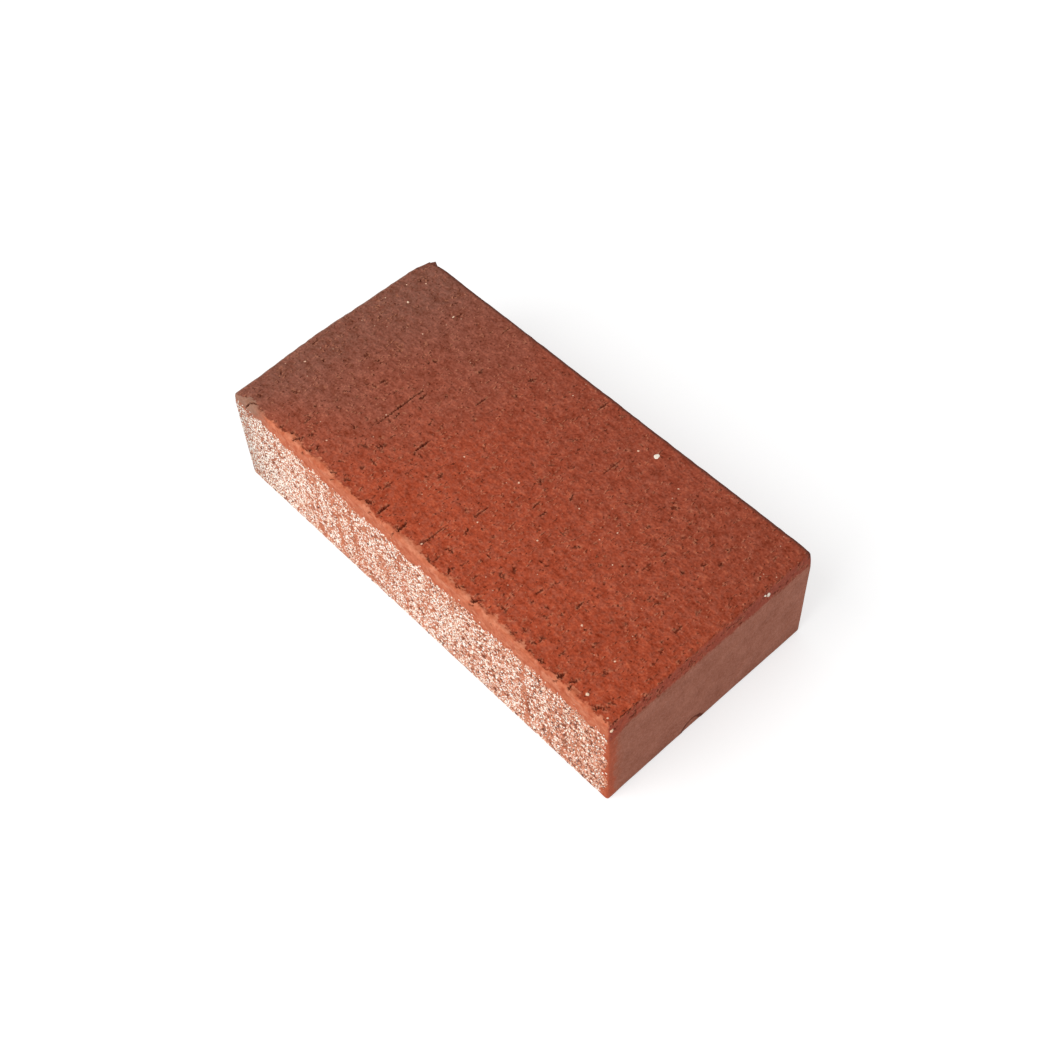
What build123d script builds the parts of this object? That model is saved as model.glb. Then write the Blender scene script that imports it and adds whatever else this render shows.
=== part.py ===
from build123d import *
import math
import os

# Overall size in millimetres: X along the length, Y across, Z up from the bed
LENGTH = 200.0
WIDTH = 98.5
HEIGHT = 50.0

# Upright corners, rounded by the die that the clay was pushed through
CORNER_RADIUS = 2.0

# Rolled band round the top, which leans in as it rises
BAND_DROP = 8.5
BAND_INSET = 0.5

# Worn edges, above the band and round the bed
TOP_ARRIS = 1.5
BED_ARRIS = 1.2

# Half-round spall on the lower edge of the +X end: deepest at its crown, shallow at its foot
SPALL_RADIUS = 4.8
SPALL_DEPTH = 0.9
SPALL_FOOT_DEPTH = 0.25
SPALL_FROM_FRONT = 41.5


def column():
    """The length of clay column between the two wire cuts, with its rounded corners."""
    section = RectangleRounded(LENGTH, WIDTH, CORNER_RADIUS)
    return extrude(section, HEIGHT)


def roll_top_band(clay):
    """Lean the top of the sides in, all the way round."""
    top = clay.faces().sort_by(Axis.Z)[-1]
    return chamfer(top.edges(), BAND_INSET, BAND_DROP, reference=top)


def wear_edges(clay):
    """Round the edge of the wearing face and the edge of the bed."""
    top = clay.faces().sort_by(Axis.Z)[-1]
    clay = fillet(top.edges(), TOP_ARRIS)
    bed = clay.faces().sort_by(Axis.Z)[0]
    return fillet(bed.edges(), BED_ARRIS)


def end_spall():
    """The tilted cylinder whose end is the floor of the spall."""
    tilt = math.degrees(math.atan2(SPALL_DEPTH - SPALL_FOOT_DEPTH, SPALL_RADIUS))
    floor = Pos(LENGTH / 2 - SPALL_FOOT_DEPTH, SPALL_FROM_FRONT - WIDTH / 2, 0) * Rot(0, 90 - tilt, 0)
    return floor * Cylinder(SPALL_RADIUS, SPALL_RADIUS, align=(Align.CENTER, Align.CENTER, Align.MIN))


paver = wear_edges(roll_top_band(column())) - end_spall()

os.makedirs("parts", exist_ok=True)
export_step(paver, "parts/paver.step")
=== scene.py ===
import logging
import math
from collections.abc import Callable
from dataclasses import dataclass
from enum import Enum

import bmesh
import bpy
import numpy as np
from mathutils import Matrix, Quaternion, Vector, noise


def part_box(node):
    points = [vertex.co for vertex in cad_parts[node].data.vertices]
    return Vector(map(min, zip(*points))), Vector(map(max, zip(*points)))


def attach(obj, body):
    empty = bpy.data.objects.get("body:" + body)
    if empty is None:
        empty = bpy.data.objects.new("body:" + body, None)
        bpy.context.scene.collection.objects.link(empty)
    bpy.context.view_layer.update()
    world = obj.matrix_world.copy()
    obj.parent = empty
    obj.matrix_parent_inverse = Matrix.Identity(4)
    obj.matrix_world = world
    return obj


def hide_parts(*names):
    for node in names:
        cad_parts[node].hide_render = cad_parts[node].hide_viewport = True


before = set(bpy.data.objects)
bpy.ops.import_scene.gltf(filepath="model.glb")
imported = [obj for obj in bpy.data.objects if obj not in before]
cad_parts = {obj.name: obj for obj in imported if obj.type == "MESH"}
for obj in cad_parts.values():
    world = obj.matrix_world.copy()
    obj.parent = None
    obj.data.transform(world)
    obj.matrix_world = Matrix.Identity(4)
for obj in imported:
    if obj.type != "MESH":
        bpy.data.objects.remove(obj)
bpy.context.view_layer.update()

NODE = "paver"
BODY = "root"
BAKE_MAP = "OFBake"
MM = 0.001
MARGIN = 0.01 * MM
TOUCHING = 1e-6
LOG = logging.getLogger("clay_paver")

Colour = tuple[float, float, float]
Triple = tuple[float, float, float]
Span = tuple[float, float]
Socket = bpy.types.NodeSocket


# Node trees

class Value:
    """A number given by a node, which Python's operators turn into Math nodes."""

    def __init__(self, graph: "Graph", socket: Socket) -> None:
        """Wrap a socket of the graph."""
        self.graph = graph
        self.socket = socket

    def math(self, operation: str, *numbers: "Value | float") -> "Value":
        """Apply one Math operation.

        Args:
            operation: the Math node's operation.
            numbers: the inputs, in order.

        Returns:
            The operation's result.
        """
        node = self.graph.add("ShaderNodeMath", {"operation": operation}, dict(enumerate(numbers)))
        return Value(self.graph, node.outputs[0])

    def __add__(self, other: "Value | float") -> "Value":
        """Add a number on the right."""
        return self.math("ADD", self, other)

    def __radd__(self, other: float) -> "Value":
        """Add a number on the left."""
        return self.math("ADD", other, self)

    def __sub__(self, other: "Value | float") -> "Value":
        """Take a number away."""
        return self.math("SUBTRACT", self, other)

    def __rsub__(self, other: float) -> "Value":
        """Take this away from a number."""
        return self.math("SUBTRACT", other, self)

    def __mul__(self, other: "Value | float") -> "Value":
        """Multiply by a number on the right."""
        return self.math("MULTIPLY", self, other)

    def __rmul__(self, other: float) -> "Value":
        """Multiply by a number on the left."""
        return self.math("MULTIPLY", other, self)

    def __rtruediv__(self, other: float) -> "Value":
        """Divide a number by this."""
        return self.math("DIVIDE", other, self)

    def most(self, other: "Value | float") -> "Value":
        """Take the larger of two numbers."""
        return self.math("MAXIMUM", self, other)

    def below(self, limit: "Socket | float") -> "Value":
        """Give 1 where this is less than a limit, and 0 elsewhere."""
        return self.math("LESS_THAN", self, limit)

    def step(self, start: float, end: float) -> "Value":
        """Rise smoothly from 0 at start to 1 at end; end may be the lower one.

        Args:
            start: the number where the rise begins.
            end: the number where it is complete.

        Returns:
            The share of the rise, from 0 to 1.
        """
        low, high = min(start, end), max(start, end)
        node = self.graph.add(
            "ShaderNodeMapRange",
            {"interpolation_type": "SMOOTHSTEP"},
            {"Value": self, "From Min": low, "From Max": high},
        )
        rise = Value(self.graph, node.outputs["Result"])
        return rise if start < end else 1 - rise

    def within(self, rising: Span, falling: Span) -> "Value":
        """Give 1 between a rise and a fall, each from its start to its end, and 0 outside them."""
        return self.step(*rising) * self.step(*falling)


class Graph:
    """A node tree that is filled through one method."""

    def __init__(self, tree: bpy.types.NodeTree) -> None:
        """Start from an empty tree."""
        self.tree = tree
        tree.nodes.clear()

    def add(
        self, kind: str, settings: dict | None = None, sockets: dict | None = None
    ) -> bpy.types.Node:
        """Add a node.

        Args:
            kind: the node's type.
            settings: the node's own properties, set first.
            sockets: the inputs by identifier, name or index, each a number, a colour or a link.

        Returns:
            The new node.
        """
        node = self.tree.nodes.new(kind)
        for name, value in (settings or {}).items():
            setattr(node, name, value)
        for key, value in (sockets or {}).items():
            self.plug(self.socket(node.inputs, key), value)
        return node

    @staticmethod
    def socket(sockets: bpy.types.bpy_prop_collection, key: str | int) -> Socket:
        """Find a socket.

        Args:
            sockets: a node's inputs or outputs.
            key: an index, an identifier or a name.

        Returns:
            The first socket that the key fits.
        """
        if isinstance(key, int):
            return sockets[key]
        return next((s for s in sockets if s.identifier == key), None) or sockets[key]

    def plug(self, socket: Socket, value: object) -> None:
        """Link a node's output to a socket, or set the socket's own value.

        Args:
            socket: the input.
            value: a Value, a socket, a number, a vector or a colour.
        """
        if isinstance(value, Value):
            value = value.socket
        if isinstance(value, Socket):
            self.tree.links.new(value, socket)
        elif socket.type == "RGBA":
            socket.default_value = (*value, 1.0)
        else:
            socket.default_value = value

    def scaled(self, vector: Socket, share: object) -> Socket:
        """Multiply a vector by a number.

        Args:
            vector: the vector.
            share: the number, or a link to one.

        Returns:
            The longer or shorter vector.
        """
        node = self.add(
            "ShaderNodeVectorMath", {"operation": "SCALE"}, {"Vector": vector, "Scale": share}
        )
        return node.outputs["Vector"]


class Shader(Graph):
    """A material's node tree, with patterns measured in millimetres on the piece."""

    def __init__(self, name: str) -> None:
        """Make an empty material and find the place on the piece.

        Args:
            name: the material's name.
        """
        self.material = bpy.data.materials.new(name)
        self.material.use_nodes = True
        super().__init__(self.material.node_tree)
        coordinates = self.add("ShaderNodeTexCoord")
        self.place = self.scaled(coordinates.outputs["Object"], 1 / MM)
        parts = self.add("ShaderNodeSeparateXYZ", sockets={"Vector": self.place})
        self.x, self.y, self.z = (Value(self, out) for out in parts.outputs)

    def attribute(self, name: str) -> Value:
        """Read a number that the piece's mesh carries."""
        return Value(self, self.add("ShaderNodeAttribute", {"attribute_name": name}).outputs["Fac"])

    def mapped(
        self, size: float, seed: int, stretch: Triple = (1, 1, 1), shift: Triple = (0, 0, 0)
    ) -> Socket:
        """Measure the place in pattern sizes.

        Args:
            size: the size of the pattern's spots in millimetres.
            seed: which part of the endless pattern is used.
            stretch: how many times longer the spots are along each axis.
            shift: how far the whole pattern is moved, in millimetres.

        Returns:
            The place, as the pattern's vector.
        """
        scale = tuple(1 / (size * s) for s in stretch)
        apart = (17.3, 9.1, 5.7)
        start = tuple(seed * far + move * s for far, move, s in zip(apart, shift, scale))
        sockets = {"Vector": self.place, "Location": start, "Scale": scale}
        return self.add("ShaderNodeMapping", sockets=sockets).outputs["Vector"]

    def noise(self, size: float, seed: int, detail: float = 2.0, **mapping: Triple) -> Value:
        """Make cloudy noise about 0.5.

        Args:
            size: the size of its spots in millimetres.
            seed: which part of the endless pattern is used.
            detail: how many finer layers it has.
            mapping: the pattern's stretch and shift, where it has them.

        Returns:
            The noise, mostly from 0.2 to 0.8.
        """
        sockets = {"Vector": self.mapped(size, seed, **mapping), "Scale": 1.0, "Detail": detail}
        return Value(self, self.add("ShaderNodeTexNoise", sockets=sockets).outputs["Fac"])

    def dots(self, size: float, seed: int, share: float, radius: float) -> Value:
        """Scatter round dots, one at most in each cell of a random packing.

        Args:
            size: the size of a cell in millimetres.
            seed: which part of the endless pattern is used.
            share: the share of the cells that hold a dot.
            radius: the dot's radius, as a share of the cell's size.

        Returns:
            1 on a dot and 0 beside it, with a soft rim.
        """
        vector = self.mapped(size, seed)
        cells = self.add("ShaderNodeTexVoronoi", sockets={"Vector": vector, "Scale": 1.0})
        pick = self.add("ShaderNodeSeparateColor", sockets={"Color": cells.outputs["Color"]})
        chosen = Value(self, pick.outputs[0]).below(share)
        near = Value(self, cells.outputs["Distance"])
        return chosen * near.step(radius, radius * 0.6)

    def mix(self, share: Value | float, one: object, two: object) -> Socket:
        """Blend two colours.

        Args:
            share: how much of the second colour shows.
            one: the first colour, a triple or a socket.
            two: the second colour.

        Returns:
            The blended colour.
        """
        node = self.add(
            "ShaderNodeMix",
            {"data_type": "RGBA"},
            {"Factor_Float": share, "A_Color": one, "B_Color": two},
        )
        return self.socket(node.outputs, "Result_Color")

    def shade(self, colour: Socket, tone: Value, follow: Triple = (1, 1, 1)) -> Socket:
        """Lighten or darken a colour.

        Args:
            colour: the colour.
            tone: what it is multiplied by, about 1.
            follow: how closely red, green and blue follow the tone; above 1, pale tones turn greyer, as
                a
            painted sheen, and dark ones turn deeper, as painted shade.

        Returns:
            The new colour.
        """
        steps = (((tone - 1) * share + 1).most(0.0) for share in follow)
        tones = self.add("ShaderNodeCombineXYZ", sockets=dict(enumerate(steps)))
        node = self.add(
            "ShaderNodeVectorMath", {"operation": "MULTIPLY"}, {0: colour, 1: tones.outputs["Vector"]}
        )
        return node.outputs["Vector"]

    def finish(
        self, colour: Socket, roughness: Value | float, height: Value | None, specular: float
    ) -> None:
        """Close the tree with a Principled surface.

        Args:
            colour: the base colour.
            roughness: the roughness, a number or a Value.
            height: the fine relief in millimetres, or None.
            specular: the strength of the surface's reflection.
        """
        sockets = {"Base Color": colour, "Roughness": roughness, "Specular IOR Level": specular}
        if height is not None:
            bump = self.add("ShaderNodeBump", sockets={"Height": height, "Distance": MM})
            sockets["Normal"] = bump.outputs["Normal"]
        surface = self.add("ShaderNodeBsdfPrincipled", sockets=sockets)
        self.add("ShaderNodeOutputMaterial", sockets={"Surface": surface.outputs["BSDF"]})


# Finishes

@dataclass(frozen=True)
class SandSpread:
    """How the sand changes along the front, in millimetres from the middle.

    A span says where a change begins and where it is complete; full and dull have a span at each end.
    """

    clump: float = 1.5
    thick: Span = (-48.0, -76.0)
    thicker: float = 0.045
    full: tuple[Span, Span] = ((-18.0, -4.0), (38.0, 24.0))
    fuller: float = 0.02
    dull: tuple[Span, Span] = ((-72.0, -62.0), (-5.0, -20.0))


SPREAD = SandSpread()


class ClayShader(Shader):
    """The clay's node tree, with the mesh's numbers and the patterns that its finishes share."""

    def __init__(self, name: str) -> None:
        """Read the mesh's numbers and make the shared patterns.

        Args:
            name: the material's name.
        """
        super().__init__(name)
        lengths, shares = ("edge", "roll", "sand"), ("pit", "rim", "bare")
        self.edge, self.roll, self.sand = (self.attribute(length) * (1 / MM) for length in lengths)
        self.pit, self.rim, self.bare = (self.attribute(share) for share in shares)
        self.speckle = self.noise(0.85, 1)
        self.leather = self.noise(1.9, 2, stretch=(1.5, 0.85, 1))
        self.mottle = self.noise(5.0, 3)
        self.smear = self.noise(5.0, 8)
        self.haze = self.noise(9.0, 9)
        # Tiny pricks: small dips in the relief that also take painted shade.
        self.prick = self.noise(1.1, 6, stretch=(0.8, 1.5, 1)).step(0.645, 0.71)


@dataclass(frozen=True)
class ClayFinish:
    """Fired clay: wire-cut faces, rolled band, smooth die skin and the bed of the sand."""

    length: float
    width: float
    height: float
    band_drop: float
    # Channel gains for the clay's tone, which follows the same noises as its fine relief: the tone is
    # partly the clay's own mottling, and these gains add a painted sheen to its pale parts and painted
    # shade to its deep ones.
    sheen_and_shade: Triple = (1.0, 1.45, 1.8)
    roughness: float = 0.82
    specular: float = 0.06
    red: Colour = (0.289, 0.058, 0.029)
    red_front: Colour = (0.395, 0.0665, 0.0272)
    ash: Colour = (0.302, 0.089, 0.056)
    orange: Colour = (0.500, 0.140, 0.062)
    brown: Colour = (0.211, 0.080, 0.053)
    # Painted shade on the back arris, which rounds away from the light.
    turned: Colour = (0.112, 0.038, 0.026)
    worn: Colour = (0.300, 0.190, 0.150)
    strip: Colour = (0.426, 0.082, 0.034)
    # Painted shadow between the sand's grains.
    gap: Colour = (0.100, 0.033, 0.019)
    # Painted shade on the bed between the grain clumps.
    gap_shade: Colour = (0.440, 0.128, 0.068)
    # Painted shade in the grooves of the marks, in the pricks and under the spall's rim.
    pit: Colour = (0.094, 0.014, 0.005)
    pale: Colour = (0.700, 0.430, 0.300)
    fleck: Colour = (0.600, 0.240, 0.135)
    band: Colour = (0.535, 0.150, 0.074)
    band_pale: Colour = (0.650, 0.243, 0.140)
    band_grey: Colour = (0.330, 0.165, 0.112)
    end_band: Colour = (0.415, 0.102, 0.071)
    skin: Colour = (0.350, 0.124, 0.0765)
    skin_front: Colour = (0.400, 0.105, 0.052)
    sand_clay: Colour = (0.590, 0.205, 0.112)
    dust: Colour = (0.640, 0.360, 0.250)

    @property
    def half(self) -> Span:
        """Half the length and half the width, in millimetres."""
        return self.length / 2 / MM, self.width / 2 / MM

    def wire_cut(self, s: ClayShader) -> Socket:
        """Colour the torn clay of the wire cut, red by the front and brown by the far end.

        Args:
            s: the clay's node tree.

        Returns:
            The colour.
        """
        half_length, half_width = self.half
        cloud = s.noise(28.0, 4)
        speck = s.dots(1.9, 5, 0.05, 0.14)
        fleck = s.dots(1.5, 14, 0.11, 0.17)
        # Painted highlight: the pricks' pattern shifted a little, so a pale rim shows on the lit side
        # of each prick.
        prick_highlight = s.noise(1.1, 6, stretch=(0.8, 1.5, 1), shift=(0.25, 0.6, 0.0)).step(0.61, 0.68)
        patch = s.noise(8.0, 15).step(0.44, 0.60)
        ashy = s.noise(1.6, 16).step(0.42, 0.66)
        to_front = s.y.step(half_width, -half_width)
        redder = to_front * 10 + s.y.step(-20, -half_width) * s.x.step(-92, -70) * 14
        to_far_end = (s.x + (cloud - 0.5) * 40 + redder).step(5, -half_length)
        warm = (s.speckle * 0.5 + s.leather * 0.3 + s.mottle * 0.2).step(0.54, 0.70)
        by_end = s.x.step(half_length - 3, half_length - 1) * s.edge.step(0, 1)
        tone = 1 + (s.speckle - 0.5) * 0.95 + (s.leather - 0.5) * 0.8 + (s.mottle - 0.5) * 0.5
        tone = tone - s.x.step(40, half_length) * 0.05

        colour = s.mix(to_front, self.red, self.red_front)
        colour = s.mix(to_far_end, colour, self.brown)
        colour = s.mix(ashy * 0.35, colour, self.ash)
        # The clay's mottling, with painted sheen and shade of its relief.
        colour = s.shade(colour, tone, self.sheen_and_shade)
        colour = s.mix(warm * (0.50 - to_far_end * 0.35), colour, self.orange)
        # Painted highlights on the pricks' lit side, with the clay's own orange flecks.
        colour = s.mix((prick_highlight * (0.06 + patch * 0.38)).most(fleck * 0.6), colour, self.fleck)
        # Painted shade in the tiny pricks.
        colour = s.mix(s.prick * 0.75, colour, self.pit)
        colour = s.mix(speck * 0.8, colour, self.pale)
        return s.mix(by_end * 0.4, colour, self.end_band)

    def rolled_band(self, s: ClayShader) -> Socket:
        """Colour the rolled band, redder by the near corner and grey by the far one.

        Args:
            s: the clay's node tree.

        Returns:
            The colour.
        """
        half_length, drop = self.half[0], self.band_drop / MM
        paler = s.noise(2.6, 13, stretch=(1.6, 1, 1)).step(0.42, 0.66)
        redder = s.noise(2.6, 18, detail=3).step(0.46, 0.66)
        by_corner = s.x.step(half_length - 5, half_length - 2) * s.edge.step(drop - 2, drop)
        greyed = (s.x + (s.smear - 0.5) * 6).step(-half_length + 23, -half_length + 12)
        tone = 0.41 + s.smear * 0.40 + s.speckle * 0.50 + s.leather * 0.28

        colour = s.mix(paler * 0.6, self.band, self.band_pale)
        colour = s.mix(redder * 0.6, colour, self.strip)
        colour = s.mix(by_corner * 0.7, colour, self.strip)
        colour = s.mix(greyed, colour, self.band_grey)
        # The band's mottling, with painted sheen and shade of its relief.
        return s.shade(colour, tone, self.sheen_and_shade)

    def die_skin(self, s: ClayShader) -> Socket:
        """Colour the smooth skin that the die left, browner towards the far end.

        Args:
            s: the clay's node tree.

        Returns:
            The colour.
        """
        half_length, half_width = self.half
        near_end = s.x.step(-1, 1)
        ragged = s.y + (s.leather - 0.5) * 4 + (s.mottle - 0.5) * 5
        by_front = ragged.step(-half_width + 8, -half_width + 1) * near_end
        on_corner = ragged.step(-half_width + 4.5, -half_width + 2.4) * near_end
        tone = 0.13 + s.haze * 0.46 + s.mottle * 0.28 + s.speckle * 0.75 + s.leather * 0.25

        colour = s.mix(s.x.step(0, -half_length) * 0.6, self.skin, self.brown)
        colour = s.mix(by_front, colour, self.skin_front)
        colour = s.mix(on_corner * 0.8, colour, self.strip)
        # The skin's mottling, with painted sheen and shade of its relief.
        return s.shade(colour, tone, self.sheen_and_shade)

    def sand_bed(self, s: ClayShader) -> Socket:
        """Colour the clay between the grains of the sand, with painted shade and shadow in the gaps.

        Args:
            s: the clay's node tree.

        Returns:
            The colour.
        """
        dusty = (s.noise(0.8, 11, detail=3) + s.noise(6.0, 12) * 0.3).step(0.55, 0.85)
        dulled = s.x.within(*SPREAD.dull)
        filled = s.noise(SPREAD.clump, 0, detail=1) + s.x.step(*SPREAD.thick) * SPREAD.thicker
        filled = filled + s.x.within(*SPREAD.full) * SPREAD.fuller
        # Painted shadow between the grains: specks, and the middles of the gaps, take a near-black
        # colour.
        dark = s.noise(0.8, 17).step(0.60, 0.65).most(filled.step(0.36, 0.30))
        covered = 1 - s.bare

        colour = s.mix(s.x.step(-66, -95) * 0.6, self.sand_clay, self.brown)
        colour = s.mix(dusty * covered * 0.6, colour, self.dust)
        colour = s.shade(colour, 0.45 + s.speckle * 1.1)
        colour = s.mix(s.z.step(1.6, 0.4) * 0.6, colour, self.dust)
        # Painted shade on the bare bed in the gaps between the grain clumps.
        colour = s.mix(filled.step(0.44, 0.37) * 0.7, colour, self.gap_shade)
        colour = s.mix(dark * (0.85 - dulled * 0.4) * covered, colour, self.gap)
        return s.mix(s.bare * 0.45, colour, self.band)

    def make(self) -> bpy.types.Material:
        """Make the material.

        Returns:
            The clay's material, which reads the mesh's edge, roll, sand, pit, rim and bare numbers.
        """
        s = ClayShader("fired_clay")
        half_length, half_width = self.half
        height, drop = self.height / MM, self.band_drop / MM
        on_sides = s.edge.step(height, height - 0.8)
        rolled = (s.roll + (s.speckle - 0.5) * 2.8 + (s.leather - 0.5) * 2.4).step(-0.55, 0.65)
        below_band = s.edge + (s.smear - 0.5) * 2.0 + (s.leather - 0.5) * 1.6
        below_band = below_band + (s.speckle - 0.5) * 1.2
        below_band = below_band - s.y.step(-half_width + 10, -half_width + 4) * 2.4
        skinned = (1 - rolled) * on_sides * below_band.step(drop - 2.3, drop - 0.5)
        ragged_sand = s.sand + (s.speckle - 0.5) * 3.0
        sanded = ragged_sand.step(-0.3, 0.5)
        fringe = ragged_sand.step(-2.2, -0.8) * rolled
        above_band = s.edge.step(4.0, 1.5)
        # Painted shade: the back arris rounds away from the light, so its colour is darkened there.
        back_arris_shade = s.y.step(half_width - 3.5, half_width - 1.5) * s.edge.step(-2.3, -1.1)
        far_arris = s.x.step(-half_length + 3, -half_length + 1.2) * s.edge.step(-1.8, -0.6)

        colour = s.mix(skinned, self.wire_cut(s), self.die_skin(s))
        colour = s.mix(far_arris * above_band * 0.5, colour, self.worn)
        colour = s.mix(back_arris_shade * above_band * 0.85, colour, self.turned)
        colour = s.mix(rolled, colour, self.rolled_band(s))
        colour = s.mix(fringe * 0.35, colour, self.strip)
        colour = s.mix(s.rim * 0.4, colour, self.fleck)
        colour = s.mix(sanded, colour, self.sand_bed(s))
        # Painted shade in the marks' grooves, stronger for deeper marks, and under the spall's rim.
        colour = s.mix(s.pit * 0.9, colour, self.pit)

        smooth = skinned.most(rolled)
        rough = self.roughness - skinned * 0.22 - rolled * 0.12 + s.pit * 0.1
        fine = (s.speckle - 0.5) * 0.32 + (s.leather - 0.5) * 0.65
        fine = fine + (s.mottle - 0.5) * 0.4 - s.prick * 0.15
        soft = (s.haze - 0.5) * 0.25 + (s.smear - 0.5) * 0.30 + (s.speckle - 0.5) * 0.06
        s.finish(colour, rough, fine * (1 - smooth) + soft * smooth, self.specular)
        return s.material


@dataclass(frozen=True)
class GrainFinish:
    """Pale mineral grains, each with a tint of its own."""

    name: str
    bright: Colour
    cream: Colour
    warm: Colour
    dull: Colour
    roughness: float = 0.45
    specular: float = 0.4
    warming: float = 0.0
    # Painted shade: how much the grains darken by the far end.
    far_end_shade: float = 0.0

    def make(self) -> bpy.types.Material:
        """Make the material.

        Returns:
            The grains' material, which reads each grain's tint.
        """
        s = Shader(self.name)
        drawn = s.attribute("tint")
        warmer = s.x.step(20, 60) + s.x.step(62, 82) * 1.7 + s.x.within(*SPREAD.dull) * 0.5
        tint = drawn + (warmer - s.x.step(-60, -75) * 0.6) * self.warming
        darker = drawn + s.x.step(58, 78) * self.warming
        # Grains by the far end are darkened, a painted shade where the front turns away from the light.
        tone = 0.80 + s.noise(0.25, 1) * 0.4 - s.x.step(-88, -98) * self.far_end_shade
        colour = s.mix(tint.step(0.46, 0.62), self.bright, self.cream)
        colour = s.mix(tint.step(0.74, 0.82), colour, self.warm)
        # The dullest tints: in the white sand these are near-black grains that stand in for painted
        # shadow between the grains; in the lime they match the warm tint.
        colour = s.mix(darker.step(0.92, 0.95), colour, self.dull)
        s.finish(s.shade(colour, tone), self.roughness, None, self.specular)
        return s.material


# Meshes

def add_object(name: str, data: bpy.types.ID) -> bpy.types.Object:
    """Put an object into the scene.

    Args:
        name: its name.
        data: its mesh, lamp or lens.

    Returns:
        The object, at the origin.
    """
    thing = bpy.data.objects.new(name, data)
    bpy.context.collection.objects.link(thing)
    return thing


def places_of(mesh: bpy.types.Mesh) -> np.ndarray:
    """Read the places of a mesh's points.

    Args:
        mesh: the mesh.

    Returns:
        The places in metres, three numbers each.
    """
    places = np.zeros(len(mesh.vertices) * 3)
    mesh.vertices.foreach_get("co", places)
    return places.reshape(-1, 3)


def owners_of(mesh: bpy.types.Mesh) -> np.ndarray:
    """Read which points the corners of a mesh's faces belong to.

    Args:
        mesh: the mesh.

    Returns:
        A point's number for each corner.
    """
    owners = np.zeros(len(mesh.loops), np.int32)
    mesh.loops.foreach_get("vertex_index", owners)
    return owners


def write_numbers(mesh: bpy.types.Mesh, name: str, numbers: np.ndarray) -> None:
    """Keep a number for each point of a mesh, under a name that a node tree reads."""
    layer = mesh.attributes.new(name, "FLOAT", "POINT")
    layer.data.foreach_set("value", numbers.astype(np.float32))


def write_map(mesh: bpy.types.Mesh, places: np.ndarray) -> None:
    """Keep the bake's map, two numbers for each corner of a mesh's faces."""
    layer = mesh.uv_layers.new(name=BAKE_MAP)
    layer.uv.foreach_set("vector", places.ravel().astype(np.float32))


# The clay

class Side(Enum):
    """A face of the paver: the axis that it faces along, and which way."""

    TOP = (2, 1)
    BED = (2, -1)
    FRONT = (1, -1)
    BACK = (1, 1)
    NEAR_END = (0, 1)
    FAR_END = (0, -1)

    @property
    def axis(self) -> int:
        """The axis that the face looks along."""
        return self.value[0]

    @property
    def sign(self) -> int:
        """1 where the face looks up its axis, and -1 where it looks down."""
        return self.value[1]

    @property
    def plane(self) -> tuple[int, int]:
        """The two axes that lie in the face, in order."""
        first, second = (a for a in range(3) if a != self.axis)
        return first, second


@dataclass(frozen=True)
class Mark:
    """A drag, pit or tear: a short groove in one face. Lengths are in millimetres.

    The place is on the face's own two axes, from the middle of the bed; the groove is turned from the
    first of them by so many degrees.
    """

    first: float
    second: float
    length: float
    width: float
    depth: float
    turn: float = 90.0
    side: Side = Side.TOP

    def nearness(self, points: np.ndarray) -> np.ndarray:
        """Measure how far points lie from the groove's middle line, in half widths.

        Args:
            points: places in metres, three numbers each.

        Returns:
            The distance of each point, 1 at the groove's rim.
        """
        flat = points[:, self.side.plane] / MM - (self.first, self.second)
        along = np.array((math.cos(math.radians(self.turn)), math.sin(math.radians(self.turn))))
        run = np.clip(flat @ along, -self.length / 2, self.length / 2)
        taper = 1 - 0.3 * min(max(self.length - 1, 0), 2) * (2 * run / self.length) ** 2
        return np.linalg.norm(flat - run[:, None] * along, axis=1) / (self.width / 2 * taper)


def wobble(points: np.ndarray, size: float, seed: int, octaves: int = 1) -> np.ndarray:
    """Give smooth noise at many places.

    Args:
        points: places in metres, three numbers each.
        size: the size of the noise's bumps in metres.
        seed: which part of the endless noise is used.
        octaves: how many finer layers it has.

    Returns:
        A number for each place, about -1 to 1.
    """
    shift = Vector((seed * 7.31, seed * 3.17, seed * 5.53))
    return np.array([noise.fractal(Vector(p) / size + shift, 0.9, 2.0, octaves) for p in points])


def rise(numbers: np.ndarray, start: float, end: float) -> np.ndarray:
    """Rise smoothly from 0 at start to 1 at end.

    Args:
        numbers: what is compared with start and end.
        start: where the rise begins.
        end: where it is complete; it may be the lower one.

    Returns:
        The share of the rise for each number.
    """
    share = np.clip((numbers - start) / (end - start), 0, 1)
    return share * share * (3 - 2 * share)


def round_over(
    inset: np.ndarray, depth: np.ndarray, radius: float | np.ndarray
) -> tuple[np.ndarray, np.ndarray]:
    """Round a square edge.

    Args:
        inset: each point's distance in from one face of the edge.
        depth: its distance in from the other face.
        radius: the radius of the round, one for all or one for each point.

    Returns:
        The two distances of the rounded point.
    """
    flat = np.stack((inset, depth), axis=1)
    limit = np.broadcast_to(radius, inset.shape)[:, None]
    middle = np.maximum(flat, limit)
    out = flat - middle
    far = np.linalg.norm(out, axis=1, keepdims=True)
    rounded = middle + out * np.where(far > limit, limit / np.maximum(far, limit), 1)
    return rounded[:, 0], rounded[:, 1]


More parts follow.
